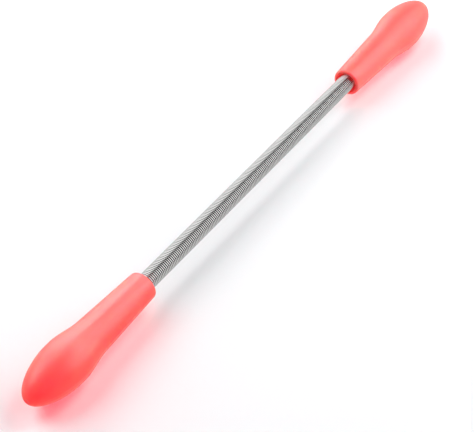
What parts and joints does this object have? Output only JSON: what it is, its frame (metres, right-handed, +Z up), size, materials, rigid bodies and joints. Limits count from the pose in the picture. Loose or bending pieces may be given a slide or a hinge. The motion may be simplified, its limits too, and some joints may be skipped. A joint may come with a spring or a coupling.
{
  "type": "spring facial hair remover",
  "caption": "Long close-wound steel spring between two club-shaped plastic handles; it bends into a U and rolls as the handles are twisted.",
  "frame": {"origin": "on the surface the two bulbs rest on, below the middle of the spring", "axes": "+X along the tool from the near handle to the far handle, +Z up, +Y the side the spring bends towards"},
  "size_m": [0.1914, 0.0128, 0.0128],
  "materials": {
    "handle_plastic": "glossy, slightly translucent coral moulding",
    "plug_nylon": "plain moulded",
    "spring_steel": "bright drawn wire"
  },
  "bodies": {
    "near_handle": {"near_handle": "handle_plastic"},
    "near_spring_end": {"near_spring_plug": "plug_nylon", "spring_end_near": "spring_steel"},
    "coil_01": {"coil_01": "spring_steel"},
    "coil_02": {"coil_02": "spring_steel"},
    "coil_03": {"coil_03": "spring_steel"},
    "coil_04": {"coil_04": "spring_steel"},
    "coil_05": {"coil_05": "spring_steel"},
    "coil_06": {"coil_06": "spring_steel"},
    "coil_07": {"coil_07": "spring_steel"},
    "coil_08": {"coil_08": "spring_steel"},
    "coil_09": {"coil_09": "spring_steel"},
    "coil_10": {"coil_10": "spring_steel"},
    "coil_11": {"coil_11": "spring_steel"},
    "coil_12": {"coil_12": "spring_steel"},
    "coil_13": {"coil_13": "spring_steel"},
    "coil_14": {"coil_14": "spring_steel"},
    "coil_15": {"coil_15": "spring_steel"},
    "far_spring_end": {"far_spring_plug": "plug_nylon", "spring_end_far": "spring_steel"},
    "far_handle": {"far_handle": "handle_plastic"}
  },
  "joints": [
    {"name": "near_roll", "type": "hinge", "parent": "near_handle", "child": "near_spring_end", "pos_m": [-0.0495, 0, 0.00639], "axis": [1, 0, 0], "continuous": true},
    {"name": "bend_01", "type": "hinge", "parent": "near_spring_end", "child": "coil_01", "pos_m": [-0.0495, 0.0025, 0.00639], "axis": [0, 0, 1], "range_deg": [0, 11.25], "stiffness_Nm_per_rad": 0.006},
    {"name": "bend_02", "type": "hinge", "parent": "coil_01", "child": "coil_02", "pos_m": [-0.0429, 0.0025, 0.00639], "axis": [0, 0, 1], "range_deg": [0, 11.25], "stiffness_Nm_per_rad": 0.006},
    {"name": "bend_03", "type": "hinge", "parent": "coil_02", "child": "coil_03", "pos_m": [-0.0363, 0.0025, 0.00639], "axis": [0, 0, 1], "range_deg": [0, 11.25], "stiffness_Nm_per_rad": 0.006},
    {"name": "bend_04", "type": "hinge", "parent": "coil_03", "child": "coil_04", "pos_m": [-0.0297, 0.0025, 0.00639], "axis": [0, 0, 1], "range_deg": [0, 11.25], "stiffness_Nm_per_rad": 0.006},
    {"name": "bend_05", "type": "hinge", "parent": "coil_04", "child": "coil_05", "pos_m": [-0.0231, 0.0025, 0.00639], "axis": [0, 0, 1], "range_deg": [0, 11.25], "stiffness_Nm_per_rad": 0.006},
    {"name": "bend_06", "type": "hinge", "parent": "coil_05", "child": "coil_06", "pos_m": [-0.0165, 0.0025, 0.00639], "axis": [0, 0, 1], "range_deg": [0, 11.25], "stiffness_Nm_per_rad": 0.006},
    {"name": "bend_07", "type": "hinge", "parent": "coil_06", "child": "coil_07", "pos_m": [-0.0099, 0.0025, 0.00639], "axis": [0, 0, 1], "range_deg": [0, 11.25], "stiffness_Nm_per_rad": 0.006},
    {"name": "bend_08", "type": "hinge", "parent": "coil_07", "child": "coil_08", "pos_m": [-0.0033, 0.0025, 0.00639], "axis": [0, 0, 1], "range_deg": [0, 11.25], "stiffness_Nm_per_rad": 0.006},
    {"name": "bend_09", "type": "hinge", "parent": "coil_08", "child": "coil_09", "pos_m": [0.0033, 0.0025, 0.00639], "axis": [0, 0, 1], "range_deg": [0, 11.25], "stiffness_Nm_per_rad": 0.006},
    {"name": "bend_10", "type": "hinge", "parent": "coil_09", "child": "coil_10", "pos_m": [0.0099, 0.0025, 0.00639], "axis": [0, 0, 1], "range_deg": [0, 11.25], "stiffness_Nm_per_rad": 0.006},
    {"name": "bend_11", "type": "hinge", "parent": "coil_10", "child": "coil_11", "pos_m": [0.0165, 0.0025, 0.00639], "axis": [0, 0, 1], "range_deg": [0, 11.25], "stiffness_Nm_per_rad": 0.006},
    {"name": "bend_12", "type": "hinge", "parent": "coil_11", "child": "coil_12", "pos_m": [0.0231, 0.0025, 0.00639], "axis": [0, 0, 1], "range_deg": [0, 11.25], "stiffness_Nm_per_rad": 0.006},
    {"name": "bend_13", "type": "hinge", "parent": "coil_12", "child": "coil_13", "pos_m": [0.0297, 0.0025, 0.00639], "axis": [0, 0, 1], "range_deg": [0, 11.25], "stiffness_Nm_per_rad": 0.006},
    {"name": "bend_14", "type": "hinge", "parent": "coil_13", "child": "coil_14", "pos_m": [0.0363, 0.0025, 0.00639], "axis": [0, 0, 1], "range_deg": [0, 11.25], "stiffness_Nm_per_rad": 0.006},
    {"name": "bend_15", "type": "hinge", "parent": "coil_14", "child": "coil_15", "pos_m": [0.0429, 0.0025, 0.00639], "axis": [0, 0, 1], "range_deg": [0, 11.25], "stiffness_Nm_per_rad": 0.006},
    {"name": "bend_16", "type": "hinge", "parent": "coil_15", "child": "far_spring_end", "pos_m": [0.0495, 0.0025, 0.00639], "axis": [0, 0, 1], "range_deg": [0, 11.25], "stiffness_Nm_per_rad": 0.006},
    {"name": "far_roll", "type": "hinge", "parent": "far_spring_end", "child": "far_handle", "pos_m": [0.0495, 0, 0.00639], "axis": [1, 0, 0], "continuous": true}
  ],
  "couplings": [
    {"joint": "bend_02", "follows": "bend_01", "ratio": 1},
    {"joint": "bend_03", "follows": "bend_01", "ratio": 1},
    {"joint": "bend_04", "follows": "bend_01", "ratio": 1},
    {"joint": "bend_05", "follows": "bend_01", "ratio": 1},
    {"joint": "bend_06", "follows": "bend_01", "ratio": 1},
    {"joint": "bend_07", "follows": "bend_01", "ratio": 1},
    {"joint": "bend_08", "follows": "bend_01", "ratio": 1},
    {"joint": "bend_09", "follows": "bend_01", "ratio": 1},
    {"joint": "bend_10", "follows": "bend_01", "ratio": 1},
    {"joint": "bend_11", "follows": "bend_01", "ratio": 1},
    {"joint": "bend_12", "follows": "bend_01", "ratio": 1},
    {"joint": "bend_13", "follows": "bend_01", "ratio": 1},
    {"joint": "bend_14", "follows": "bend_01", "ratio": 1},
    {"joint": "bend_15", "follows": "bend_01", "ratio": 1},
    {"joint": "bend_16", "follows": "bend_01", "ratio": 1},
    {"joint": "far_roll", "follows": "near_roll", "ratio": -1}
  ]
}
